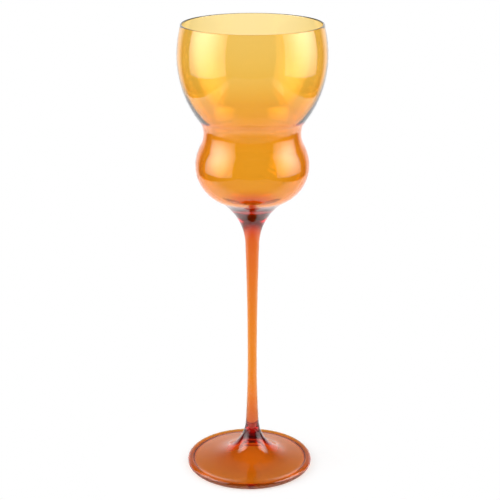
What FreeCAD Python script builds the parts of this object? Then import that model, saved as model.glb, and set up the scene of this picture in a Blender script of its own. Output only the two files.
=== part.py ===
# Tall stemmed vase for forcing one hyacinth bulb, in amber glass: a blown bowl (a cup that
# holds the bulb, a waist that it sits on, a root chamber under it), a drawn solid stem and a
# cast-on foot. Millimetres, +Z up, origin on the table under the middle of the bowl.
import FreeCAD, Part
import math
import os
import Sketcher
from FreeCAD import Vector

doc = FreeCAD.newDocument("forcing_vase")

# Every size that can be set by itself, in mm. Radii are from the vase's axis. Each rise starts
# where the one before it ends, so that the levels stay in order when one of them changes.
sizes = [
    ("stem_base_rise", 27.0, "table to where the stem is stuck to the foot's boss"),
    ("stem_waist_rise", 39.0, "from there to the stem's thinnest part"),
    ("stem_top_rise", 75.5, "from there to where the bowl's drawn-out base runs into the stem"),
    ("cavity_floor_rise", 23.5, "from there to the chamber's floor, on the axis: solid glass"),
    ("chamber_rise", 23.85, "from there to the root chamber's widest point"),
    ("waist_rise", 19.1, "from there to the waist's narrowest point"),
    ("belly_rise", 44.05, "from there to the cup's widest point"),
    ("lip_rise", 18.0, "from there to the top of the lip, 270 mm above the table"),
    ("waist_radius", 27.95, "outside radius of the waist that the bulb sits on"),
    ("belly_swell", 14.65, "how far the cup's widest point stands outside the waist"),
    ("chamber_swell", 4.85, "how far the chamber's widest point stands outside the waist"),
    ("rim_draw", 2.4, "how far the lip's outermost point is drawn in from the cup's widest"),
    ("rim_wall", 1.0, "thickness of the lip, which is fire-polished and rounded all over"),
    ("belly_wall", 1.1, "wall at the cup's widest point"),
    ("waist_wall", 2.1, "wall at the waist"),
    ("chamber_wall", 2.1, "wall at the chamber's widest point"),
    ("waist_upper_arc", 12.3, "outside radius of curvature above the waist"),
    ("waist_lower_arc", 16.1, "outside radius of curvature below the waist"),
    ("waist_upper_inside_arc", 14.5, "inside radius of curvature above the waist"),
    ("waist_lower_inside_arc", 17.9, "inside radius of curvature below the waist"),
    ("cavity_flattening", 3.25, "how much less the radius of the cavity's side is than its depth"),
    ("chamber_base_gain", 1.9, "how much more that radius is on the outside of the chamber's base"),
    ("stem_top_radius", 4.1, "stem where the bowl's drawn-out base runs into it"),
    ("stem_waist_radius", 2.8, "thinnest part of the stem"),
    ("stem_base_radius", 4.0, "stem where it is stuck to the foot's boss"),
    ("foot_radius", 37.9, "outside radius of the foot, from its own axis"),
    ("foot_bead", 4.2, "thickness of the foot's rounded edge"),
    ("foot_groove_arc", 6.0, "radius of the hollow curve between that edge and the sloping top"),
    ("foot_rest_depth", 0.1, "how far the rounded edge is ground flat to stand on"),
    ("foot_hollow", 4.7, "height that the foot's underside would reach on its axis"),
    ("foot_hollow_edge", 0.3, "height that the underside would reach at the foot's radius"),
    ("kick_height", 14.0, "top of the kick, the hollow pushed up under the stem"),
    ("kick_arc", 7.0, "radius of the kick's domed top"),
    ("kick_flare_arc", 26.0, "radius of the curve from that dome out to the underside"),
    ("kick_sink", 0.15, "how far that curve runs on past the underside, so that it cuts it"),
    ("crown_height", 8.5, "height that the foot's sloping top would reach on its axis"),
    ("crown_edge_height", 3.0, "height that the same slope would reach at the foot's radius"),
    ("boss_sink", 0.3, "how far the boss's flare runs on under the foot's top"),
    ("foot_drift", 1.7, "how far the foot's axis stands off the stem's, to -X, as made by hand"),
]
sheet = doc.addObject("Spreadsheet::Sheet", "Sizes")
for row, (alias, value, meaning) in enumerate(sizes, 1):
    sheet.set(f"A{row}", alias)
    sheet.set(f"B{row}", str(value))
    sheet.set(f"C{row}", meaning)
    sheet.setAlias(f"B{row}", alias)
doc.recompute()


def size(alias):
    return float(sheet.get(alias))


LEVELS = ("stem_base", "stem_waist", "stem_top", "cavity_floor", "chamber", "waist", "belly", "lip")


def rises_up_to(level):
    return [f"{name}_rise" for name in LEVELS[: LEVELS.index(level) + 1]]


def height(level):
    return sum(size(alias) for alias in rises_up_to(level))


def height_formula(level):
    return " + ".join(f"Sizes.{alias}" for alias in rises_up_to(level))


# The bowl's outside radii, each as sizes to add up and sizes to take off.
BOWL_RADII = {
    "waist": (["waist_radius"], []),
    "chamber": (["waist_radius", "chamber_swell"], []),
    "belly": (["waist_radius", "belly_swell"], []),
    "rim": (["waist_radius", "belly_swell"], ["rim_draw"]),
}


def bowl_radius(part):
    added, taken = BOWL_RADII[part]
    return sum(size(alias) for alias in added) - sum(size(alias) for alias in taken)


def bowl_radius_formula(part):
    added, taken = BOWL_RADII[part]
    return " + ".join(f"Sizes.{alias}" for alias in added) + "".join(
        f" - Sizes.{alias}" for alias in taken
    )


def new_body(name):
    body = doc.addObject("PartDesign::Body", name)
    body.Label = name
    return body


def new_section(body, name):
    # A sketch on the body's own XZ plane: across is the radius, up is the height.
    sketch = body.newObject("Sketcher::SketchObject", name)
    plane = next(o for o in body.Origin.OriginFeatures if o.Role == "XZ_Plane")
    sketch.AttachmentSupport = [(plane, "")]
    sketch.MapMode = "FlatFace"
    return sketch


def point(radius, height):
    return Vector(radius, height, 0)


def add_line(sketch, start, end, construction=False):
    return sketch.addGeometry(Part.LineSegment(start, end), construction)


def add_arc(sketch, centre, start, end, construction=False):
    # The arc about centre from start to end, the short way round.
    first = math.atan2(start.y - centre.y, start.x - centre.x)
    last = math.atan2(end.y - centre.y, end.x - centre.x)
    if (last - first) % (2 * math.pi) > math.pi:
        first, last = last, first
    circle = Part.Circle(centre, Vector(0, 0, 1), (start - centre).Length)
    return sketch.addGeometry(Part.ArcOfCircle(circle, first, last), construction)


def add_long_arc(sketch, centre, start, end):
    # The arc about centre from start anticlockwise to end.
    first = math.atan2(start.y - centre.y, start.x - centre.x)
    last = math.atan2(end.y - centre.y, end.x - centre.x)
    circle = Part.Circle(centre, Vector(0, 0, 1), (start - centre).Length)
    return sketch.addGeometry(Part.ArcOfCircle(circle, first, last), False)


# The sketcher's own numbers for an edge's points and for the sketch's two axes.
START, END, CENTRE = range(1, 4)
HORIZONTAL_AXIS, VERTICAL_AXIS = range(-1, -3, -1)
ORIGIN = (HORIZONTAL_AXIS, START)


def near_ends(sketch, first, second):
    # Which end of each edge lies on the other edge's end.
    pairs = [(a, b) for a in (START, END) for b in (START, END)]
    return min(
        pairs,
        key=lambda pair: (
            sketch.getPoint(first, pair[0]) - sketch.getPoint(second, pair[1])
        ).Length,
    )


def join(sketch, kind, first, second):
    # kind is Tangent for a smooth joint and Coincident for a corner.
    end_of_first, end_of_second = near_ends(sketch, first, second)
    sketch.addConstraint(
        Sketcher.Constraint(kind, first, end_of_first, second, end_of_second)
    )
    return first, end_of_first


def chain(sketch, kind, edges):
    return [join(sketch, kind, a, b) for a, b in zip(edges, edges[1:])]


def bind(sketch, kind, where, formula, value):
    # A dimension that follows the sheet. value is the same size now, for the solver's start.
    number = sketch.addConstraint(Sketcher.Constraint(kind, *where, value))
    sketch.setExpression(f"Constraints[{number}]", formula)


def place(sketch, where, radius_formula, height_formula):
    at = sketch.getPoint(*where)
    bind(sketch, "DistanceX", (*ORIGIN, *where), radius_formula, at.x)
    bind(sketch, "DistanceY", (*ORIGIN, *where), height_formula, at.y)


def stand_upright(sketch, arc, where):
    # The arc's centre is level with this point of it, so its wall is upright there.
    sketch.addConstraint(Sketcher.Constraint("Horizontal", arc, CENTRE, *where))


def put_on_axis(sketch, geometry, where):
    sketch.addConstraint(
        Sketcher.Constraint("PointOnObject", geometry, where, VERTICAL_AXIS)
    )


def revolve(body, sketch, name):
    turned = body.newObject("PartDesign::Revolution", name)
    turned.Profile = sketch
    turned.ReferenceAxis = (sketch, ["V_Axis"])
    turned.Angle = 360
    sketch.Visibility = False
    return turned


def s_curve(outer, inner, inner_arc):
    # Two arcs that meet smoothly between a bulge's widest point and a waist's narrowest,
    # upright at both. Gives both centres and the point where they meet.
    across = outer.x - inner.x
    up = outer.y - inner.y
    both = (across**2 + up**2) / (2 * across)
    outer_arc = both - inner_arc
    outer_centre = point(outer.x - outer_arc, outer.y)
    inner_centre = point(inner.x + inner_arc, inner.y)
    meeting = outer_centre + (inner_centre - outer_centre) * (outer_arc / both)
    return outer_centre, inner_centre, meeting


def arc_to_lip(bulge, lip_centre, lip_radius, outside):
    # Centre of the arc that is upright at the bulge and meets the lip's circle smoothly.
    side = 1 if outside else -1
    across = bulge.x - lip_centre.x
    up = lip_centre.y - bulge.y
    arc = (across**2 + up**2 - lip_radius**2) / (2 * (across - side * lip_radius))
    centre = point(bulge.x - arc, bulge.y)
    towards = (lip_centre - centre).normalize()
    return centre, lip_centre + towards * (side * lip_radius)


def upright_arc_centre(upright, other):
    # Centre of the arc that is upright at one point and passes through another, further out.
    across = other.x - upright.x
    up = other.y - upright.y
    return point(upright.x + (across**2 + up**2) / (2 * across), upright.y)


stem_top = point(size("stem_top_radius"), height("stem_top"))
stem_waist = point(size("stem_waist_radius"), height("stem_waist"))
stem_base = point(size("stem_base_radius"), height("stem_base"))
upper_stem_centre = upright_arc_centre(stem_waist, stem_top)
lower_stem_centre = upright_arc_centre(stem_waist, stem_base)


def add_stem_arc(sketch, which, construction):
    # The stem's long arc from its thinnest part to its top or base. The pieces that run into
    # the stem hold it as a construction line, so that their sides carry on its slope.
    far = {"top": stem_top, "base": stem_base}[which]
    centre = {"top": upper_stem_centre, "base": lower_stem_centre}[which]
    arc = add_arc(sketch, centre, stem_waist, far, construction)
    waist_end = min(
        (START, END), key=lambda end: (sketch.getPoint(arc, end) - stem_waist).Length
    )
    far_end = START + END - waist_end
    place(sketch, (arc, waist_end), "Sizes.stem_waist_radius", height_formula("stem_waist"))
    place(sketch, (arc, far_end), f"Sizes.stem_{which}_radius", height_formula(f"stem_{which}"))
    stand_upright(sketch, arc, (arc, waist_end))
    return arc, far_end


def make_bowl():
    body = new_body("bowl")
    sketch = new_section(body, "bowl_section")

    lip_radius = size("rim_wall") / 2
    lip = point(bowl_radius("rim") - lip_radius, height("lip") - lip_radius)

    def wall_points(wall_share):
        # The widest and narrowest points outside, or inside with a wall_share of 1.
        return [
            point(bowl_radius(part) - wall_share * size(f"{part}_wall"), height(part))
            for part in ("belly", "waist", "chamber")
        ]

    belly, waist, chamber = wall_points(0)
    rim_centre, rim_point = arc_to_lip(belly, lip, lip_radius, True)
    belly_centre, upper_centre, cup_bend = s_curve(belly, waist, size("waist_upper_arc"))
    chamber_centre, lower_centre, chamber_bend = s_curve(chamber, waist, size("waist_lower_arc"))

    # The base below the chamber: an arc round its side and one that runs on from the stem's
    # own slope.
    side_arc = size("chamber_rise") - size("cavity_flattening")
    under_arc = side_arc + size("chamber_base_gain")
    under_centre = point(chamber.x - under_arc, chamber.y)
    out_of_stem = (upper_stem_centre - stem_top).normalize()
    gap = stem_top - under_centre
    draw_arc = (under_arc**2 - gap.Length**2) / (2 * (gap.dot(out_of_stem) - under_arc))
    draw_centre = stem_top + out_of_stem * draw_arc
    draw_bend = under_centre + (draw_centre - under_centre).normalize() * under_arc

    inner_belly, inner_waist, inner_chamber = wall_points(1)
    inner_rim_centre, inner_rim_point = arc_to_lip(inner_belly, lip, lip_radius, False)
    inner_belly_centre, inner_upper_centre, inner_cup_bend = s_curve(
        inner_belly, inner_waist, size("waist_upper_inside_arc")
    )
    inner_chamber_centre, inner_lower_centre, inner_chamber_bend = s_curve(
        inner_chamber, inner_waist, size("waist_lower_inside_arc")
    )

    # The floor: an arc centred on the axis that the chamber's side runs into.
    side_centre = point(inner_chamber.x - side_arc, inner_chamber.y)
    floor = point(0, height("cavity_floor"))
    fall = floor.y - inner_chamber.y
    floor_arc = (side_arc**2 - side_centre.x**2 - fall**2) / (2 * (fall + side_arc))
    floor_centre = point(0, floor.y + floor_arc)
    floor_bend = floor_centre + (side_centre - floor_centre).normalize() * floor_arc

    outside = [
        add_arc(sketch, rim_centre, rim_point, belly),
        add_arc(sketch, belly_centre, belly, cup_bend),
        add_arc(sketch, upper_centre, cup_bend, waist),
        add_arc(sketch, lower_centre, waist, chamber_bend),
        add_arc(sketch, chamber_centre, chamber_bend, chamber),
        add_arc(sketch, under_centre, chamber, draw_bend),
        add_arc(sketch, draw_centre, draw_bend, stem_top),
    ]
    base = add_line(sketch, stem_top, point(0, stem_top.y))
    core = add_line(sketch, point(0, stem_top.y), floor)
    inside = [
        add_arc(sketch, floor_centre, floor, floor_bend),
        add_arc(sketch, side_centre, floor_bend, inner_chamber),
        add_arc(sketch, inner_chamber_centre, inner_chamber, inner_chamber_bend),
        add_arc(sketch, inner_lower_centre, inner_chamber_bend, inner_waist),
        add_arc(sketch, inner_upper_centre, inner_waist, inner_cup_bend),
        add_arc(sketch, inner_belly_centre, inner_cup_bend, inner_belly),
        add_arc(sketch, inner_rim_centre, inner_belly, inner_rim_point),
    ]
    lip_arc = add_long_arc(sketch, lip, rim_point, inner_rim_point)

    joints = chain(sketch, "Tangent", [lip_arc, *outside])
    inner_joints = chain(sketch, "Tangent", [*inside, lip_arc])
    chain(sketch, "Coincident", [outside[-1], base, core, inside[0]])

    bind(sketch, "Radius", (lip_arc,), "Sizes.rim_wall / 2", lip_radius)
    place(
        sketch,
        (lip_arc, CENTRE),
        bowl_radius_formula("rim") + " - Sizes.rim_wall / 2",
        height_formula("lip") + " - Sizes.rim_wall / 2",
    )
    for part, joint in zip(("belly", "waist", "chamber"), (joints[1], joints[3], joints[5])):
        place(sketch, joint, bowl_radius_formula(part), height_formula(part))
        stand_upright(sketch, joint[0], joint)
    for part, joint in zip(
        ("chamber", "waist", "belly"), (inner_joints[1], inner_joints[3], inner_joints[5])
    ):
        inside_formula = bowl_radius_formula(part) + f" - Sizes.{part}_wall"
        place(sketch, joint, inside_formula, height_formula(part))
        stand_upright(sketch, joint[0], joint)
    for arc, alias in (
        (outside[2], "waist_upper_arc"),
        (outside[3], "waist_lower_arc"),
        (inside[3], "waist_lower_inside_arc"),
        (inside[4], "waist_upper_inside_arc"),
    ):
        bind(sketch, "Radius", (arc,), f"Sizes.{alias}", size(alias))
    side_formula = "Sizes.chamber_rise - Sizes.cavity_flattening"
    under_formula = side_formula + " + Sizes.chamber_base_gain"
    bind(sketch, "Radius", (inside[1],), side_formula, side_arc)
    bind(sketch, "Radius", (outside[5],), under_formula, under_arc)

    stem_arc, _ = add_stem_arc(sketch, "top", True)
    join(sketch, "Tangent", outside[-1], stem_arc)
    sketch.addConstraint(Sketcher.Constraint("Horizontal", base))
    put_on_axis(sketch, core, START)
    put_on_axis(sketch, core, END)
    put_on_axis(sketch, inside[0], CENTRE)
    bind(sketch, "DistanceY", (*ORIGIN, core, END), height_formula("cavity_floor"), floor.y)

    revolve(body, sketch, "bowl_blown")
    return body, sketch


def make_stem():
    body = new_body("stem")
    sketch = new_section(body, "stem_section")
    upper, _ = add_stem_arc(sketch, "top", False)
    lower = add_arc(sketch, lower_stem_centre, stem_waist, stem_base)
    top = add_line(sketch, stem_top, point(0, stem_top.y))
    core = add_line(sketch, point(0, stem_top.y), point(0, stem_base.y))
    bottom = add_line(sketch, point(0, stem_base.y), stem_base)
    join(sketch, "Tangent", upper, lower)
    chain(sketch, "Coincident", [upper, top, core, bottom, lower])
    foot_end = near_ends(sketch, lower, bottom)[0]
    place(sketch, (lower, foot_end), "Sizes.stem_base_radius", height_formula("stem_base"))
    for face in (top, bottom):
        sketch.addConstraint(Sketcher.Constraint("Horizontal", face))
    put_on_axis(sketch, core, START)
    put_on_axis(sketch, core, END)
    revolve(body, sketch, "stem_drawn")
    return body, sketch


def make_foot():
    body = new_body("foot")
    crown = point(0, size("crown_height"))
    slope_end = point(size("foot_radius"), size("crown_edge_height"))
    along = (slope_end - crown).normalize()
    away = point(-along.y, along.x)
    hollow = point(0, size("foot_hollow"))
    hollow_end = point(size("foot_radius"), size("foot_hollow_edge"))
    inward = (hollow - hollow_end).normalize()
    down = point(-inward.y, inward.x)

    # The disc, about its own axis.
    disc = new_section(body, "foot_disc_section")
    disc.AttachmentOffset = FreeCAD.Placement(Vector(-size("foot_drift"), 0, 0), FreeCAD.Rotation())
    disc.setExpression("AttachmentOffset.Base.x", "-Sizes.foot_drift")
    bead_radius = size("foot_bead") / 2
    bead = point(size("foot_radius") - bead_radius, bead_radius - size("foot_rest_depth"))
    rest_half = math.sqrt(bead_radius**2 - bead.y**2)
    rest_inner = point(bead.x - rest_half, 0)
    rest_outer = point(bead.x + rest_half, 0)

    groove_arc = size("foot_groove_arc")
    to_bead = bead - crown
    rise = groove_arc - to_bead.dot(away)
    reach = to_bead.dot(along) - math.sqrt((bead_radius + groove_arc) ** 2 - rise**2)
    groove = crown + along * reach
    groove_centre = groove + away * groove_arc
    bead_top = bead + (groove_centre - bead).normalize() * bead_radius

    to_bead = bead - hollow
    outward = -to_bead.dot(inward) - math.sqrt(bead_radius**2 - to_bead.dot(down) ** 2)
    hollow_edge = hollow - inward * outward

    top = add_line(disc, crown, groove)
    groove_curve = add_arc(disc, groove_centre, groove, bead_top)
    bead_outer = add_long_arc(disc, bead, rest_outer, bead_top)
    rest = add_line(disc, rest_outer, rest_inner)
    bead_inner = add_arc(disc, bead, rest_inner, hollow_edge)
    under = add_line(disc, hollow_edge, hollow)
    core = add_line(disc, hollow, crown)
    slope = add_line(disc, crown, slope_end, True)
    fall = add_line(disc, hollow, hollow_end, True)
    chain(disc, "Tangent", [top, groove_curve, bead_outer])
    chain(disc, "Coincident", [bead_outer, rest, bead_inner, under, core, top])
    for constraint in (
        Sketcher.Constraint("Coincident", bead_outer, CENTRE, bead_inner, CENTRE),
        Sketcher.Constraint("Equal", bead_outer, bead_inner),
        Sketcher.Constraint("Horizontal", rest),
        Sketcher.Constraint("Coincident", slope, START, top, START),
        Sketcher.Constraint("Parallel", slope, top),
        Sketcher.Constraint("Coincident", fall, START, core, START),
        Sketcher.Constraint("Parallel", fall, under),
    ):
        disc.addConstraint(constraint)
    for where in (START, END):
        put_on_axis(disc, core, where)
    bind(disc, "Radius", (bead_outer,), "Sizes.foot_bead / 2", bead_radius)
    bind(disc, "Radius", (groove_curve,), "Sizes.foot_groove_arc", groove_arc)
    place(
        disc,
        (bead_outer, CENTRE),
        "Sizes.foot_radius - Sizes.foot_bead / 2",
        "Sizes.foot_bead / 2 - Sizes.foot_rest_depth",
    )
    disc.addConstraint(Sketcher.Constraint("PointOnObject", rest, START, HORIZONTAL_AXIS))
    bind(disc, "DistanceY", (*ORIGIN, core, START), "Sizes.foot_hollow", hollow.y)
    bind(disc, "DistanceY", (*ORIGIN, core, END), "Sizes.crown_height", crown.y)
    place(disc, (slope, END), "Sizes.foot_radius", "Sizes.crown_edge_height")
    place(disc, (fall, END), "Sizes.foot_radius", "Sizes.foot_hollow_edge")
    revolve(body, disc, "foot_disc")

    # The boss, about the stem's axis: its flare carries on the stem's slope and runs out
    # along the foot's top, a little under it.
    boss = new_section(body, "foot_boss_section")
    sunk = crown - point(0, size("boss_sink"))
    out_of_stem = (lower_stem_centre - stem_base).normalize()
    flare_arc = (stem_base - sunk).dot(away) / (1 - out_of_stem.dot(away))
    flare_centre = stem_base + out_of_stem * flare_arc
    flare_end = flare_centre - away * flare_arc
    seat = add_line(boss, sunk, flare_end)
    flare = add_arc(boss, flare_centre, flare_end, stem_base)
    joint = add_line(boss, stem_base, point(0, stem_base.y))
    middle = add_line(boss, point(0, stem_base.y), sunk)
    slope = add_line(boss, sunk, slope_end - point(0, size("boss_sink")), True)
    join(boss, "Tangent", seat, flare)
    chain(boss, "Coincident", [flare, joint, middle, seat])
    stem_arc, _ = add_stem_arc(boss, "base", True)
    join(boss, "Tangent", flare, stem_arc)
    for constraint in (
        Sketcher.Constraint("Horizontal", joint),
        Sketcher.Constraint("Coincident", slope, START, seat, START),
        Sketcher.Constraint("Parallel", slope, seat),
    ):
        boss.addConstraint(constraint)
    for where in (START, END):
        put_on_axis(boss, middle, where)
    bind(boss, "DistanceY", (*ORIGIN, middle, END), "Sizes.crown_height - Sizes.boss_sink", sunk.y)
    place(
        boss,
        (slope, END),
        "Sizes.foot_radius",
        "Sizes.crown_edge_height - Sizes.boss_sink",
    )
    whole = revolve(body, boss, "foot_boss")
    doc.recompute()
    before = whole.Shape.Volume

    # The kick, about the stem's axis: a dome under the boss, and a curve from it out to the
    # underside.
    kick = new_section(body, "foot_kick_section")
    sink = point(0, size("kick_sink"))
    dome_arc = size("kick_arc")
    curve_arc = size("kick_flare_arc")
    kick_top = point(0, size("kick_height"))
    dome_centre = kick_top - point(0, dome_arc)
    gap = hollow - sink - down * curve_arc - dome_centre
    back = gap.dot(inward)
    out = back + math.sqrt(back**2 - gap.Length**2 + (dome_arc + curve_arc) ** 2)
    curve_centre = dome_centre + gap - inward * out
    curve_end = curve_centre + down * curve_arc
    dome_end = dome_centre + (curve_centre - dome_centre).normalize() * dome_arc
    foot_of_cut = point(curve_end.x, 0)
    dome = add_arc(kick, dome_centre, kick_top, dome_end)
    curve = add_arc(kick, curve_centre, dome_end, curve_end)
    side = add_line(kick, curve_end, foot_of_cut)
    floor = add_line(kick, foot_of_cut, point(0, 0))
    middle = add_line(kick, point(0, 0), kick_top)
    fall = add_line(kick, hollow - sink, hollow_end - sink, True)
    touch = add_line(kick, hollow - sink, curve_end, True)
    chain(kick, "Tangent", [dome, curve, touch])
    chain(kick, "Coincident", [curve, side, floor, middle, dome])
    for constraint in (
        Sketcher.Constraint("Vertical", side),
        Sketcher.Constraint("Horizontal", floor),
        Sketcher.Constraint("Coincident", middle, START, *ORIGIN),
        Sketcher.Constraint("Coincident", touch, START, fall, START),
        Sketcher.Constraint("Parallel", touch, fall),
    ):
        kick.addConstraint(constraint)
    put_on_axis(kick, middle, END)
    put_on_axis(kick, dome, CENTRE)
    put_on_axis(kick, fall, START)
    bind(kick, "Radius", (dome,), "Sizes.kick_arc", dome_arc)
    bind(kick, "Radius", (curve,), "Sizes.kick_flare_arc", curve_arc)
    bind(kick, "DistanceY", (*ORIGIN, middle, END), "Sizes.kick_height", kick_top.y)
    fall_start = kick.getPoint(fall, START)
    bind(kick, "DistanceY", (*ORIGIN, fall, START), "Sizes.foot_hollow - Sizes.kick_sink", fall_start.y)
    place(kick, (fall, END), "Sizes.foot_radius", "Sizes.foot_hollow_edge - Sizes.kick_sink")
    hollowed = body.newObject("PartDesign::Groove", "foot_kick")
    hollowed.Profile = kick
    hollowed.ReferenceAxis = (kick, ["V_Axis"])
    hollowed.Angle = 360
    kick.Visibility = False
    doc.recompute()
    taken = before - hollowed.Shape.Volume
    print(f"foot: {before:.1f} mm3 before the kick, which takes {taken:.1f} mm3")
    if taken <= 0:
        raise RuntimeError("the kick has cut nothing out of the foot")
    return body, disc, boss, kick


made = [make_bowl(), make_stem(), make_foot()]
doc.recompute()

for body, *sketches in made:
    for sketch in sketches:
        print(f"{sketch.Name}: solver {sketch.solve()}, fully constrained {sketch.FullyConstrained}")
failed = [o.Name for o in doc.Objects if "Invalid" in o.State or "Error" in o.State]
if failed:
    raise RuntimeError(f"these objects did not recompute: {failed}")
for body, *sketches in made:
    shape = body.Shape
    if shape.isNull() or not shape.isValid() or len(shape.Solids) != 1:
        raise RuntimeError(f"{body.Label} is not one sound solid")
    box = shape.BoundBox
    print(
        f"{body.Label}: {shape.Volume:.1f} mm3, x {box.XMin:.2f} to {box.XMax:.2f}, "
        f"z {box.ZMin:.2f} to {box.ZMax:.2f}"
    )

os.makedirs("parts", exist_ok=True)
for body, *sketches in made:
    body.Shape.exportStep(f"parts/{body.Label}.step")
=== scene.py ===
import math
import random
import bpy
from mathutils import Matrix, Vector, noise


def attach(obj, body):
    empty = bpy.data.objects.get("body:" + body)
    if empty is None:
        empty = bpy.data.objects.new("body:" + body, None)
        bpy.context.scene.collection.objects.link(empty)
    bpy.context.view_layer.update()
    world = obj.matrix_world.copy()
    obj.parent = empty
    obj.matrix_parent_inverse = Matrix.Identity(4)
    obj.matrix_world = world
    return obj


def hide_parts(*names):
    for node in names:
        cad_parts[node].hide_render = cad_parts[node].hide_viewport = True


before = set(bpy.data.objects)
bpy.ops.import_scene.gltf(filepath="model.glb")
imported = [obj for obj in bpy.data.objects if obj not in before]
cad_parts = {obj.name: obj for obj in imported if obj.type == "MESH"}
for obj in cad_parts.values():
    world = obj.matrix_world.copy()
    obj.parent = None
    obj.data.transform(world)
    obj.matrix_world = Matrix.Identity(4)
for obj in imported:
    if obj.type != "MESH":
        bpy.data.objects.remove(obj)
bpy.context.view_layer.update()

# A stemmed vase for forcing one bulb, in amber glass: a blown bowl, a drawn stem and a foot,
# fused hot into one piece. Metres, +Z up, the front towards -Y.

mm = 0.001

# The glass mesh: pieces round the axis, the longest piece and the widest turn, in degrees,
# along its outline, how near the axis a ring closes to a point, and the bubbles' rows and
# columns.
fineness = {
    "around": 192,
    "step": 1.2 * mm,
    "turn": 12,
    "onAxis": 0.0001 * mm,
    "seedRows": 6,
    "seedColumns": 10,
}


def linear(hexColour):
    values = [int(hexColour[i:i + 2], 16) / 255 for i in (1, 3, 5)]
    return [v / 12.92 if v <= 0.04045 else ((v + 0.055) / 1.055) ** 2.4 for v in values]


# Lines are lists of (radius, height), and arcs are given by centre and ends.
def arcPoints(centre, start, end, step, clockwise=False):
    first = math.atan2(start[1] - centre[1], start[0] - centre[0])
    turn = math.atan2(end[1] - centre[1], end[0] - centre[0]) - first
    turn = (turn + math.pi) % (2 * math.pi) - math.pi
    if clockwise and turn > 0:
        turn -= 2 * math.pi
    radius = math.dist(centre, start)
    widest = math.radians(fineness["turn"])
    count = max(2, math.ceil(abs(turn) / widest), math.ceil(abs(turn) * radius / step))
    return [
        (
            centre[0] + radius * math.cos(first + turn * i / count),
            centre[1] + radius * math.sin(first + turn * i / count),
        )
        for i in range(count + 1)
    ]


def linePoints(start, end, step):
    count = max(1, math.ceil(math.dist(start, end) / step))
    return [
        (start[0] + (end[0] - start[0]) * i / count, start[1] + (end[1] - start[1]) * i / count)
        for i in range(count + 1)
    ]


def joined(*runs):
    line = list(runs[0])
    for run in runs[1:]:
        line += run[1:]
    return line


def unit(a, b):
    length = math.dist(a, b)
    return ((b[0] - a[0]) / length, (b[1] - a[1]) / length)


def along(start, direction, distance):
    return (start[0] + direction[0] * distance, start[1] + direction[1] * distance)


def dot(a, b):
    return a[0] * b[0] + a[1] * b[1]


# Centres of the two arcs from a bulge to a waist, upright at both, and where they meet.
def betweenArcs(outer, inner, innerArc):
    across = outer[0] - inner[0]
    up = outer[1] - inner[1]
    both = (across ** 2 + up ** 2) / (2 * across)
    outerCentre = (outer[0] - (both - innerArc), outer[1])
    innerCentre = (inner[0] + innerArc, inner[1])
    bend = along(outerCentre, unit(outerCentre, innerCentre), both - innerArc)
    return outerCentre, innerCentre, bend


# Centre of the arc from a bulge to the lip's circle, and where they meet.
def toLip(bulge, lip, lipRadius, side):
    across = bulge[0] - lip[0]
    up = lip[1] - bulge[1]
    arc = (across ** 2 + up ** 2 - lipRadius ** 2) / (2 * (across - side * lipRadius))
    centre = (bulge[0] - arc, bulge[1])
    return centre, along(lip, unit(centre, lip), side * lipRadius)


def uprightCentre(upright, other):
    across = other[0] - upright[0]
    up = other[1] - upright[1]
    return (upright[0] + (across ** 2 + up ** 2) / (2 * across), upright[1])


# The stem was drawn out of the bowl's base and thins in the middle.
stem = {
    "top": (4.1 * mm, 141.5 * mm),
    "waist": (2.8 * mm, 66.0 * mm),
    "base": (4.0 * mm, 27.0 * mm),
}

# The bowl was blown: thin at the lip, thicker down to the solid base. Pairs are (radius, height).
bowl = {
    "height": 270.0 * mm,
    "rimRadius": 40.2 * mm,
    "rimWall": 1.0 * mm,
    "belly": (42.6 * mm, 252.0 * mm),
    "waist": (27.95 * mm, 207.95 * mm),
    "chamber": (32.8 * mm, 188.85 * mm),
    "bellyWall": 1.1 * mm,
    "waistWall": 2.1 * mm,
    "chamberWall": 2.1 * mm,
    "aboveWaistArc": 12.3 * mm,
    "belowWaistArc": 16.1 * mm,
    "aboveWaistInsideArc": 14.5 * mm,
    "belowWaistInsideArc": 17.9 * mm,
    "underChamberArc": 22.5 * mm,
    "cavitySideArc": 20.6 * mm,
    "cavityFloor": 165.0 * mm,
    "waveDepth": 0.05 * mm,
    "waveWidth": 13.0 * mm,
    "waveStretch": 3.0,
}


def lipCircle():
    lipRadius = bowl["rimWall"] / 2
    return (bowl["rimRadius"] - lipRadius, bowl["height"] - lipRadius), lipRadius


# From the lip's outer side down to the stem.
def bowlOutside(step):
    lip, lipRadius = lipCircle()
    rimCentre, rimPoint = toLip(bowl["belly"], lip, lipRadius, 1)
    belly, waist, chamber = bowl["belly"], bowl["waist"], bowl["chamber"]
    bellyCentre, upperCentre, cupBend = betweenArcs(belly, waist, bowl["aboveWaistArc"])
    chamberCentre, lowerCentre, chamberBend = betweenArcs(chamber, waist, bowl["belowWaistArc"])
    under = bowl["underChamberArc"]
    underCentre = (chamber[0] - under, chamber[1])
    outward = unit(stem["top"], uprightCentre(stem["waist"], stem["top"]))
    gap = (stem["top"][0] - underCentre[0], stem["top"][1] - underCentre[1])
    drawArc = (under ** 2 - dot(gap, gap)) / (2 * (dot(gap, outward) - under))
    drawCentre = along(stem["top"], outward, drawArc)
    drawBend = along(underCentre, unit(underCentre, drawCentre), under)
    return joined(
        arcPoints(rimCentre, rimPoint, belly, step),
        arcPoints(bellyCentre, belly, cupBend, step),
        arcPoints(upperCentre, cupBend, waist, step),
        arcPoints(lowerCentre, waist, chamberBend, step),
        arcPoints(chamberCentre, chamberBend, chamber, step),
        arcPoints(underCentre, chamber, drawBend, step),
        arcPoints(drawCentre, drawBend, stem["top"], step),
    )


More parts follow.
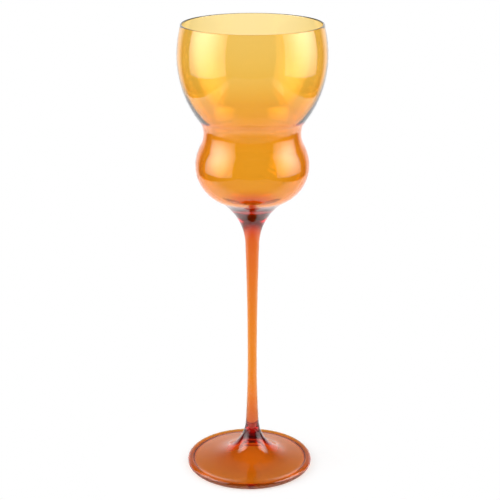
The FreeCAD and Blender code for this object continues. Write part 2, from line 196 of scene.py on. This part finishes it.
# From the cavity's floor, on the axis, up and over the lip.
def bowlInside(step):
    lip, lipRadius = lipCircle()
    belly, waist, chamber = (
        (bowl[name][0] - bowl[name + "Wall"], bowl[name][1])
        for name in ("belly", "waist", "chamber")
    )
    rimCentre, rimPoint = toLip(belly, lip, lipRadius, -1)
    rimOutside = toLip(bowl["belly"], lip, lipRadius, 1)[1]
    bellyCentre, upperCentre, cupBend = betweenArcs(belly, waist, bowl["aboveWaistInsideArc"])
    lowerArc = bowl["belowWaistInsideArc"]
    chamberCentre, lowerCentre, chamberBend = betweenArcs(chamber, waist, lowerArc)
    side = bowl["cavitySideArc"]
    sideCentre = (chamber[0] - side, chamber[1])
    floor = (0.0, bowl["cavityFloor"])
    fall = floor[1] - chamber[1]
    floorArc = (side ** 2 - sideCentre[0] ** 2 - fall ** 2) / (2 * (fall + side))
    floorCentre = (0.0, floor[1] + floorArc)
    floorBend = along(floorCentre, unit(floorCentre, sideCentre), floorArc)
    return joined(
        arcPoints(floorCentre, floor, floorBend, step),
        arcPoints(sideCentre, floorBend, chamber, step),
        arcPoints(chamberCentre, chamber, chamberBend, step),
        arcPoints(lowerCentre, chamberBend, waist, step),
        arcPoints(upperCentre, waist, cupBend, step),
        arcPoints(bellyCentre, cupBend, belly, step),
        arcPoints(rimCentre, belly, rimPoint, step),
        arcPoints(lip, rimPoint, rimOutside, step, clockwise=True),
    )


# The foot was cast on, spun out with a rounded edge and pushed up under the stem. Its disc
# stands a little off the stem's axis.
foot = {
    "radius": 37.9 * mm,
    "bead": 4.2 * mm,
    "grooveArc": 6.0 * mm,
    "rest": 0.1 * mm,
    "hollow": 4.7 * mm,
    "hollowEdge": 0.3 * mm,
    "kick": 14.0 * mm,
    "kickArc": 7.0 * mm,
    "kickFlareArc": 26.0 * mm,
    "crown": 8.5 * mm,
    "crownEdge": 3.0 * mm,
    "drift": 1.7 * mm,
    "driftFrom": 15.0 * mm,
    "driftTo": 27.0 * mm,
}


# From the stem's top down over the foot and back under it to the axis.
def stemAndFoot(step):
    upper = uprightCentre(stem["waist"], stem["top"])
    lower = uprightCentre(stem["waist"], stem["base"])
    crown = (0.0, foot["crown"])
    slope = unit(crown, (foot["radius"], foot["crownEdge"]))
    away = (-slope[1], slope[0])
    outward = unit(stem["base"], lower)
    rise = dot((stem["base"][0], stem["base"][1] - foot["crown"]), away)
    flareArc = rise / (1 - dot(outward, away))
    flareCentre = along(stem["base"], outward, flareArc)
    flareEnd = along(flareCentre, away, -flareArc)

    beadRadius = foot["bead"] / 2
    bead = (foot["radius"] - beadRadius, beadRadius - foot["rest"])
    grooveArc = foot["grooveArc"]
    toBead = (bead[0] - crown[0], bead[1] - crown[1])
    reach = dot(toBead, slope)
    reach -= math.sqrt((beadRadius + grooveArc) ** 2 - (grooveArc - dot(toBead, away)) ** 2)
    groove = along(crown, slope, reach)
    grooveCentre = along(groove, away, grooveArc)
    beadTop = along(bead, unit(bead, grooveCentre), beadRadius)
    restHalf = math.sqrt(beadRadius ** 2 - bead[1] ** 2)
    restOuter = (bead[0] + restHalf, 0.0)
    restInner = (bead[0] - restHalf, 0.0)

    hollow = (0.0, foot["hollow"])
    inward = unit((foot["radius"], foot["hollowEdge"]), hollow)
    down = (-inward[1], inward[0])
    gap = (hollow[0] - bead[0], hollow[1] - bead[1])
    reach = dot(gap, inward) - math.sqrt(beadRadius ** 2 - dot(gap, down) ** 2)
    hollowEdge = along(hollow, inward, -reach)
    kickArc = foot["kickArc"]
    kickFlare = foot["kickFlareArc"]
    kickTop = (0.0, foot["kick"])
    kickCentre = (0.0, foot["kick"] - kickArc)
    level = along(hollow, down, -kickFlare)
    gap = (level[0] - kickCentre[0], level[1] - kickCentre[1])
    reach = dot(gap, inward)
    reach += math.sqrt(reach ** 2 - dot(gap, gap) + (kickArc + kickFlare) ** 2)
    underCentre = along(level, inward, -reach)
    hollowBend = along(underCentre, down, kickFlare)
    kickBend = along(kickCentre, unit(kickCentre, underCentre), kickArc)
    return joined(
        arcPoints(upper, stem["top"], stem["waist"], step),
        arcPoints(lower, stem["waist"], stem["base"], step),
        arcPoints(flareCentre, stem["base"], flareEnd, step),
        linePoints(flareEnd, groove, step),
        arcPoints(grooveCentre, groove, beadTop, step),
        arcPoints(bead, beadTop, restOuter, step, clockwise=True),
        linePoints(restOuter, restInner, step),
        arcPoints(bead, restInner, hollowEdge, step),
        linePoints(hollowEdge, hollowBend, step),
        arcPoints(underCentre, hollowBend, kickBend, step),
        arcPoints(kickCentre, kickBend, kickTop, step),
    )


# How far a ring stands to -X: none in the boss, all of the drift in the foot's disc.
def footShift(radius, height):
    if height >= stem["base"][1]:
        return 0.0
    share = (radius - foot["driftFrom"]) / (foot["driftTo"] - foot["driftFrom"])
    share = min(1.0, max(0.0, share))
    return foot["drift"] * share * share * (3 - 2 * share)


# How far the blown wall's inside strays: soft upright waves, as breath and turning leave them.
def wave(x, y, height):
    radius = math.hypot(x, y)
    fade = min(1.0, radius / bowl["waveWidth"], (bowl["height"] - height) / bowl["waveWidth"])
    place = Vector((x, y, height / bowl["waveStretch"])) / bowl["waveWidth"]
    return bowl["waveDepth"] * fade * noise.noise(place)


# Seeds, the small bubbles left in the melt, drawn out upright with the glass. The known one has
# its own place, an angle in degrees and a height, and is larger than the rest. A width is from
# the middle of a bubble to its side.
seeds = {
    "known": (60.2, 262.8 * mm),
    "knownWide": 0.384 * mm,
    "knownStretch": 2.08,
    "count": 26,
    "draw": 5,
    "bowlFrom": 146.0 * mm,
    "bowlTo": 263.0 * mm,
    "wide": (0.10 * mm, 0.24 * mm),
    "stretch": (1.6, 3.2),
    "wallShare": 0.3,
}


def radiiAt(line, height):
    found = []
    for (r, z), (nextR, nextZ) in zip(line, line[1:]):
        if min(z, nextZ) <= height < max(z, nextZ):
            found.append(r + (nextR - r) * (height - z) / (nextZ - z))
    return sorted(found)


# A bubble's skin faces inwards, towards its air.
def addSeed(verts, faces, centre, outward, half):
    rows, columns = fineness["seedRows"], fineness["seedColumns"]
    across = Vector((-outward.y, outward.x, 0))
    up = Vector((0, 0, 1))
    rings = [[len(verts)] * columns]
    verts.append(centre + up * half[2])
    for row in range(1, rows):
        theta = math.pi * row / rows
        rings.append(list(range(len(verts), len(verts) + columns)))
        for column in range(columns):
            phi = 2 * math.pi * column / columns
            flat = outward * math.cos(phi) * half[0] + across * math.sin(phi) * half[1]
            verts.append(centre + flat * math.sin(theta) + up * math.cos(theta) * half[2])
    rings.append([len(verts)] * columns)
    verts.append(centre - up * half[2])
    for a, b in zip(rings, rings[1:]):
        for i in range(columns):
            j = (i + 1) % columns
            faces.append(list(dict.fromkeys([a[j], b[j], b[i], a[i]])))


def addSeeds(verts, faces, line):
    chance = random.Random(seeds["draw"])
    places = [(*seeds["known"], seeds["knownWide"], seeds["knownStretch"])]
    for _ in range(seeds["count"]):
        places.append((
            chance.uniform(0, 360),
            chance.uniform(seeds["bowlFrom"], seeds["bowlTo"]),
            chance.uniform(*seeds["wide"]),
            chance.uniform(*seeds["stretch"]),
        ))
    for degrees, height, wide, stretch in places:
        radii = radiiAt(line, height)
        inner, outer = radii if len(radii) == 2 else (0.0, radii[-1])
        thin = min(wide, (outer - inner) * seeds["wallShare"])
        turn = math.radians(degrees)
        outward = Vector((math.sin(turn), -math.cos(turn), 0))
        centre = outward * (inner + outer) / 2 + Vector((0, 0, height))
        addSeed(verts, faces, centre, outward, (thin, wide, wide * stretch))


# One closed skin: the cavity, the lip, the outside, the stem, the foot and its underside.
def latheGlass(segments, step):
    verts = []
    faces = []
    rings = []
    inside = bowlInside(step)
    line = joined(inside, bowlOutside(step), stemAndFoot(step))
    for number, (radius, height) in enumerate(line):
        shift = footShift(radius, height)
        wavy = number < len(inside)
        if radius < fineness["onAxis"]:
            rings.append([len(verts)] * segments)
            verts.append(Vector((-shift, 0.0, height)))
            continue
        rings.append(list(range(len(verts), len(verts) + segments)))
        for i in range(segments):
            turn = 2 * math.pi * i / segments
            x = math.cos(turn)
            y = math.sin(turn)
            wide = radius + (wave(x * radius, y * radius, height) if wavy else 0.0)
            verts.append(Vector((x * wide - shift, y * wide, height)))
    for a, b in zip(rings, rings[1:]):
        for i in range(segments):
            j = (i + 1) % segments
            faces.append(list(dict.fromkeys([a[i], b[i], b[j], a[j]])))
    addSeeds(verts, faces, line)
    mesh = bpy.data.meshes.new("fused_glass")
    mesh.from_pydata(verts, [], faces)
    mesh.validate()
    mesh.polygons.foreach_set("use_smooth", [True] * len(mesh.polygons))
    return mesh


def addNode(tree, kind, settings=(), links=()):
    node = tree.nodes.new(kind)
    for key, value in dict(settings).items():
        if isinstance(key, str) and hasattr(node, key):
            setattr(node, key, value)
        else:
            node.inputs[key].default_value = value
    for key, output in dict(links).items():
        tree.links.new(output, node.inputs[key])
    return node


def newMaterial(name):
    material = bpy.data.materials.new(name)
    material.use_nodes = True
    material.node_tree.nodes.clear()
    return material, material.node_tree


# Amber soda glass, coloured all through with iron and sulphur: pale yellow where it is thin,
# orange where walls double up, brown-red where it is thick. Fire-polished, so almost mirror
# smooth, with a faint ripple and a trace of wiping marks.
glassLook = {
    "through": "#f5c965",
    "depth": 2.0 * mm,
    "ior": 1.51,
    "rippleWidth": 7.0 * mm,
    "rippleDepth": 0.006 * mm,
    "wipeWidth": 16.0 * mm,
    "wipeFrom": 0.5,
    "wipeTo": 0.75,
    "roughness": (0.0, 0.02),
    "headroom": 1.06,
}


def glassMaterial():
    material, tree = newMaterial("amber soda glass, blown and fire-polished")
    place = addNode(tree, "ShaderNodeTexCoord").outputs["Object"]
    ripple = addNode(tree, "ShaderNodeTexNoise", {
        "Scale": 1 / glassLook["rippleWidth"],
        "Detail": 1.0,
    }, {"Vector": place})
    bump = addNode(tree, "ShaderNodeBump", {
        "Strength": 1.0,
        "Distance": glassLook["rippleDepth"],
    }, {"Height": ripple.outputs["Fac"]})
    wipe = addNode(tree, "ShaderNodeTexNoise", {
        "Scale": 1 / glassLook["wipeWidth"],
        "Detail": 3.0,
        "Distortion": 1.0,
    }, {"Vector": place})
    dull = addNode(tree, "ShaderNodeMapRange", {
        "interpolation_type": "SMOOTHSTEP",
        "From Min": glassLook["wipeFrom"],
        "From Max": glassLook["wipeTo"],
        "To Min": glassLook["roughness"][0],
        "To Max": glassLook["roughness"][1],
    }, {"Value": wipe.outputs["Fac"]})
    surface = addNode(tree, "ShaderNodeBsdfPrincipled", {
        "Base Color": (1, 1, 1, 1),
        "IOR": glassLook["ior"],
        "Transmission Weight": 1.0,
    }, {"Roughness": dull.outputs["Result"], "Normal": bump.outputs["Normal"]})
    # The density is a little over what the strongest colour needs, so that no share is zero.
    taken = [-math.log(share) / glassLook["depth"] for share in linear(glassLook["through"])]
    density = max(taken) * glassLook["headroom"]
    inside = addNode(tree, "ShaderNodeVolumeAbsorption", {
        "Color": (*[1 - take / density for take in taken], 1),
        "Density": density,
    })
    addNode(tree, "ShaderNodeOutputMaterial", (), {
        "Surface": surface.outputs[0],
        "Volume": inside.outputs[0],
    })
    return material


def buildGlass():
    mesh = latheGlass(fineness["around"], fineness["step"])
    mesh.materials.append(glassMaterial())
    glass = bpy.data.objects.new("fused_glass", mesh)
    bpy.context.scene.collection.objects.link(glass)
    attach(glass, "root")
    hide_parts("bowl", "stem", "foot")
    print("glass:", len(mesh.vertices), "vertices")


# Two tall softboxes stand left and right of a white table, before a white sweep. The
# photographer's side of the room is dark. Angles round the vase are in degrees from the front;
# those of the sweep's fading and of the white seen through the glass are degrees of height.
studio = {
    "card": "#f3f3f3",
    "cardLight": 0.80,
    # Painted shade: the card's colour at the front, darkened there as if less light fell on it.
    "paintedShadeFront": 0.40,
    # Painted light: the strength of a glow on the card, for all but camera rays.
    "cardPaintedGlow": 0.14,
    "paintedShadeFrom": -0.045,  # painted shade: the card's colour darkens from here to the next value, towards the front, where less light falls
    "paintedShadeTo": -0.15,
    "shadow": 0.5,
    "fill": 0.76,
    "trueTo": 0.045,  # the card as it is, to here from the origin, and plain from whiteFrom
    "whiteFrom": 0.10,
    "farSeenThrough": 1.12,
    "highSeenThrough": 0.25,
    "seenThroughFrom": 0.0,
    "seenThroughTo": 22.0,
    "floorHalf": 6.0,
    "floorSink": 0.02 * mm,
    "tableHalf": 0.38,
    "tableFront": 0.70,
    "tableBack": 0.60,
    "floorBehind": 1.2,
    "sweepEdge": 136.0,
    "sweepSoft": 0.10,
    "sweepLow": 1.12,
    "sweepHigh": 0.32,
    "sweepFrom": 8.0,
    "sweepTo": 42.0,
    "room": 0.08,
    "boxHot": 6.8,
    "boxEdge": 1.5,
    "lampAcross": 0.57,
    "lampUp": 0.62,
    "lampReach": 0.6,
    "lampOval": 0.75,
    "boxDistance": 0.84,
    "boxHeight": 0.86,
    "leftFrom": 39.6,
    "leftTo": 107.3,
    "rightFrom": 48.3,
    "rightTo": 111.1,
}


# 1 where a direction or place lies behind the vase, in front of the sweep.
def inSweep(tree, vector):
    level = addNode(tree, "ShaderNodeVectorMath", {"operation": "MULTIPLY", 1: (1, 1, 0)}, {
        0: vector,
    })
    flat = addNode(tree, "ShaderNodeVectorMath", {"operation": "NORMALIZE"}, {
        0: level.outputs["Vector"],
    })
    split = addNode(tree, "ShaderNodeSeparateXYZ", (), {0: flat.outputs["Vector"]})
    edge = -math.cos(math.radians(studio["sweepEdge"]))
    return addNode(tree, "ShaderNodeMapRange", {
        "interpolation_type": "SMOOTHSTEP",
        "From Min": edge - studio["sweepSoft"],
        "From Max": edge + studio["sweepSoft"],
    }, {"Value": split.outputs["Y"]}).outputs["Result"]


# 1 for light that has mirrored or scattered on its way, 0 if it has only gone through glass.
def bouncedRay(tree):
    path = addNode(tree, "ShaderNodeLightPath")
    return path, addNode(tree, "ShaderNodeMath", {"operation": "ADD", "use_clamp": True}, {
        0: path.outputs["Glossy Depth"],
        1: path.outputs["Diffuse Depth"],
    }).outputs[0]


# 1 beyond the table's edges, which only a mirrored ray meets.
def offTable(tree, place):
    middle = (studio["tableBack"] - studio["tableFront"]) / 2
    depth = (studio["tableBack"] + studio["tableFront"]) / 2
    offset = addNode(tree, "ShaderNodeVectorMath", {"operation": "SUBTRACT", 1: (0, middle, 0)}, {
        0: place,
    })
    reach = addNode(tree, "ShaderNodeVectorMath", {
        "operation": "DIVIDE",
        1: (studio["tableHalf"], depth, 1),
    }, {0: offset.outputs["Vector"]})
    size = addNode(tree, "ShaderNodeVectorMath", {"operation": "ABSOLUTE"}, {
        0: reach.outputs["Vector"],
    })
    split = addNode(tree, "ShaderNodeSeparateXYZ", (), {0: size.outputs["Vector"]})
    widest = addNode(tree, "ShaderNodeMath", {"operation": "MAXIMUM"}, {
        0: split.outputs["X"],
        1: split.outputs["Y"],
    })
    return addNode(tree, "ShaderNodeMath", {"operation": "GREATER_THAN", 1: 1.0}, {
        0: widest.outputs[0],
    }).outputs[0]


# White card with a matt surface: even, with no grain at this distance. Painted shade darkens its
# colour towards the dark side of the room, and a painted glow adds light to it for all but camera
# rays.
def floorMaterial():
    material, tree = newMaterial("white card, matt")
    place = addNode(tree, "ShaderNodeNewGeometry").outputs["Position"]
    away = addNode(tree, "ShaderNodeVectorMath", {"operation": "LENGTH"}, {0: place})
    path, bounced = bouncedRay(tree)
    colour = linear(studio["card"])
    split = addNode(tree, "ShaderNodeSeparateXYZ", (), {0: place})
    # Painted shade: the card's colour falls towards the front, in place of the light that falls
    # off there.
    paintedShade = addNode(tree, "ShaderNodeMapRange", {
        "From Min": studio["paintedShadeTo"],
        "From Max": studio["paintedShadeFrom"],
        "To Min": colour[0] * studio["paintedShadeFront"],
        "To Max": colour[0],
    }, {"Value": split.outputs["Y"]})
    matt = addNode(tree, "ShaderNodeBsdfDiffuse", (), {"Color": paintedShade.outputs["Result"]})
    # Painted light: the card glows a little, as if more light fell on it, for all but camera
    # rays.
    paintedGlow = addNode(tree, "ShaderNodeEmission", {"Strength": studio["cardPaintedGlow"]}, {
        "Color": paintedShade.outputs["Result"],
    })
    card = addNode(tree, "ShaderNodeAddShader", (), {0: matt.outputs[0], 1: paintedGlow.outputs[0]})
    # Straight to the camera the card is white paper that keeps part of the shadow's depth.
    shade = [c * studio["shadow"] / studio["cardLight"] for c in colour]
    paper = addNode(tree, "ShaderNodeBsdfDiffuse", {"Color": (*shade, 1)})
    glow = addNode(tree, "ShaderNodeEmission", {"Strength": 1.0 - studio["shadow"]})
    lit = addNode(tree, "ShaderNodeAddShader", (), {0: paper.outputs[0], 1: glow.outputs[0]})
    near = addNode(tree, "ShaderNodeMixShader", (), {
        0: path.outputs["Is Camera Ray"],
        1: card.outputs[0],
        2: lit.outputs[0],
    })
    # Farther off it is plain white to the camera and through the glass. A mirrored ray meets
    # the table's end, with the lit floor behind it and the dark room in front.
    straight = addNode(tree, "ShaderNodeMix", {"A": studio["farSeenThrough"], "B": 1.0}, {
        "Factor": path.outputs["Is Camera Ray"],
    })
    beyond = addNode(tree, "ShaderNodeMix", {"A": studio["room"], "B": studio["floorBehind"]}, {
        "Factor": inSweep(tree, place),
    })
    far = addNode(tree, "ShaderNodeMix", (), {
        "Factor": bounced,
        "A": straight.outputs["Result"],
        "B": beyond.outputs["Result"],
    })
    white = addNode(tree, "ShaderNodeEmission", (), {"Strength": far.outputs["Result"]})
    spread = addNode(tree, "ShaderNodeMapRange", {
        "interpolation_type": "SMOOTHSTEP",
        "From Min": studio["trueTo"],
        "From Max": studio["whiteFrom"],
    }, {"Value": away.outputs["Value"]})
    share = addNode(tree, "ShaderNodeMix", (), {
        "Factor": bounced,
        "A": spread.outputs["Result"],
        "B": offTable(tree, place),
    })
    both = addNode(tree, "ShaderNodeMixShader", (), {
        0: share.outputs["Result"],
        1: near.outputs[0],
        2: white.outputs[0],
    })
    addNode(tree, "ShaderNodeOutputMaterial", (), {"Surface": both.outputs[0]})
    return material


def buildFloor():
    half = studio["floorHalf"]
    corners = [(-half, -half, 0), (half, -half, 0), (half, half, 0), (-half, half, 0)]
    mesh = bpy.data.meshes.new("floor")
    mesh.from_pydata(corners, [], [(0, 1, 2, 3)])
    mesh.materials.append(floorMaterial())
    floor = bpy.data.objects.new("floor", mesh)
    floor.location.z = -studio["floorSink"]
    bpy.context.scene.collection.objects.link(floor)


# Softbox cloth, lit from behind: brightest where the lamp is, dull towards its edges.
def softboxMaterial():
    material, tree = newMaterial("softbox cloth, lit from behind")
    bounced = bouncedRay(tree)[1]
    place = addNode(tree, "ShaderNodeTexCoord").outputs["Generated"]
    oval = (0, 1, studio["lampOval"])
    flat = addNode(tree, "ShaderNodeVectorMath", {"operation": "MULTIPLY", 1: oval}, {0: place})
    away = addNode(tree, "ShaderNodeVectorMath", {
        "operation": "DISTANCE",
        1: (0, studio["lampAcross"], studio["lampUp"] * studio["lampOval"]),
    }, {0: flat.outputs["Vector"]})
    glare = addNode(tree, "ShaderNodeMapRange", {
        "interpolation_type": "SMOOTHSTEP",
        "From Max": studio["lampReach"],
        "To Min": studio["boxHot"],
        "To Max": studio["boxEdge"],
    }, {"Value": away.outputs["Value"]})
    strength = addNode(tree, "ShaderNodeMix", {"A": 1.0}, {
        "Factor": bounced,
        "B": glare.outputs["Result"],
    })
    glow = addNode(tree, "ShaderNodeEmission", (), {"Strength": strength.outputs["Result"]})
    addNode(tree, "ShaderNodeOutputMaterial", (), {"Surface": glow.outputs[0]})
    return material


def buildSoftbox(name, side, fromDegrees, toDegrees, material):
    top = studio["boxHeight"]
    (ax, ay), (bx, by) = (
        (side * studio["boxDistance"] * math.sin(turn), -studio["boxDistance"] * math.cos(turn))
        for turn in (math.radians(fromDegrees), math.radians(toDegrees))
    )
    corners = [(ax, ay, 0.0), (bx, by, 0.0), (bx, by, top), (ax, ay, top)]
    mesh = bpy.data.meshes.new(name)
    mesh.from_pydata(corners, [], [(0, 1, 2, 3)])
    mesh.materials.append(material)
    box = bpy.data.objects.new(name, mesh)
    bpy.context.scene.collection.objects.link(box)
    box.visible_camera = False


def buildWorld():
    world = bpy.data.worlds.new("studio")
    bpy.context.scene.world = world
    world.use_nodes = True
    tree = world.node_tree
    tree.nodes.clear()
    path, bounced = bouncedRay(tree)
    towards = addNode(tree, "ShaderNodeTexCoord").outputs["Generated"]
    split = addNode(tree, "ShaderNodeSeparateXYZ", (), {0: towards})
    mirrored, seenThrough = (
        addNode(tree, "ShaderNodeMapRange", {
            "interpolation_type": "SMOOTHSTEP",
            "From Min": math.sin(math.radians(studio[start])),
            "From Max": math.sin(math.radians(studio[end])),
            "To Min": studio[low],
            "To Max": studio[high],
        }, {"Value": split.outputs["Z"]}).outputs["Result"]
        for start, end, low, high in (
            ("sweepFrom", "sweepTo", "sweepLow", "sweepHigh"),
            ("seenThroughFrom", "seenThroughTo", "farSeenThrough", "highSeenThrough"),
        )
    )
    room = addNode(tree, "ShaderNodeMix", {"A": studio["room"]}, {
        "Factor": inSweep(tree, towards),
        "B": mirrored,
    })
    scattered = addNode(tree, "ShaderNodeMath", {"operation": "GREATER_THAN", 1: 0.5}, {
        0: path.outputs["Diffuse Depth"],
    })
    lit = addNode(tree, "ShaderNodeMix", {"B": studio["fill"]}, {
        "Factor": scattered.outputs[0],
        "A": room.outputs["Result"],
    })
    straight = addNode(tree, "ShaderNodeMix", {"B": 1.0}, {
        "Factor": path.outputs["Is Camera Ray"],
        "A": seenThrough,
    })
    strength = addNode(tree, "ShaderNodeMix", (), {
        "Factor": bounced,
        "A": straight.outputs["Result"],
        "B": lit.outputs["Result"],
    })
    sky = addNode(tree, "ShaderNodeBackground", {"Color": (1, 1, 1, 1)}, {
        "Strength": strength.outputs["Result"],
    })
    addNode(tree, "ShaderNodeOutputWorld", (), {"Surface": sky.outputs[0]})


# Worked out from the photograph's outline. At axisHeight the vase's axis falls on axisPixel.
# Angles are in degrees; the sensor and the lens are in Blender's millimetres.
shot = {
    "pixels": 500.0,
    "sensor": 36.0,
    "lens": 96.07,
    "away": 742.475 * mm,
    "up": 385.22 * mm,
    "pitch": 18.457,
    "axisHeight": 150.0 * mm,
    "axisPixel": 252.3,
    "nearest": 0.01,
    "farthest": 50.0,
}


def buildCamera():
    data = bpy.data.cameras.new("camera")
    data.sensor_width = shot["sensor"]
    data.lens = shot["lens"]
    data.clip_start = shot["nearest"]
    data.clip_end = shot["farthest"]
    camera = bpy.data.objects.new("camera", data)
    bpy.context.scene.collection.objects.link(camera)
    pitch = math.radians(shot["pitch"])
    depth = shot["away"] * math.cos(pitch) + (shot["up"] - shot["axisHeight"]) * math.sin(pitch)
    share = 0.5 - shot["axisPixel"] / shot["pixels"]
    aside = share * shot["sensor"] / shot["lens"] * depth
    camera.location = (aside, -shot["away"], shot["up"])
    camera.rotation_euler = (math.radians(90) - pitch, 0, 0)
    bpy.context.scene.camera = camera


buildGlass()
buildFloor()
cloth = softboxMaterial()
buildSoftbox("softbox_left", -1, studio["leftFrom"], studio["leftTo"], cloth)
buildSoftbox("softbox_right", 1, studio["rightFrom"], studio["rightTo"], cloth)
buildWorld()
print("studio: floor, two softboxes, room")
buildCamera()
scene = bpy.context.scene
scene.view_settings.view_transform = "Standard"
scene.cycles.max_bounces = 32
scene.cycles.transmission_bounces = 32
scene.cycles.glossy_bounces = 16
scene.cycles.diffuse_bounces = 3
print("camera set")
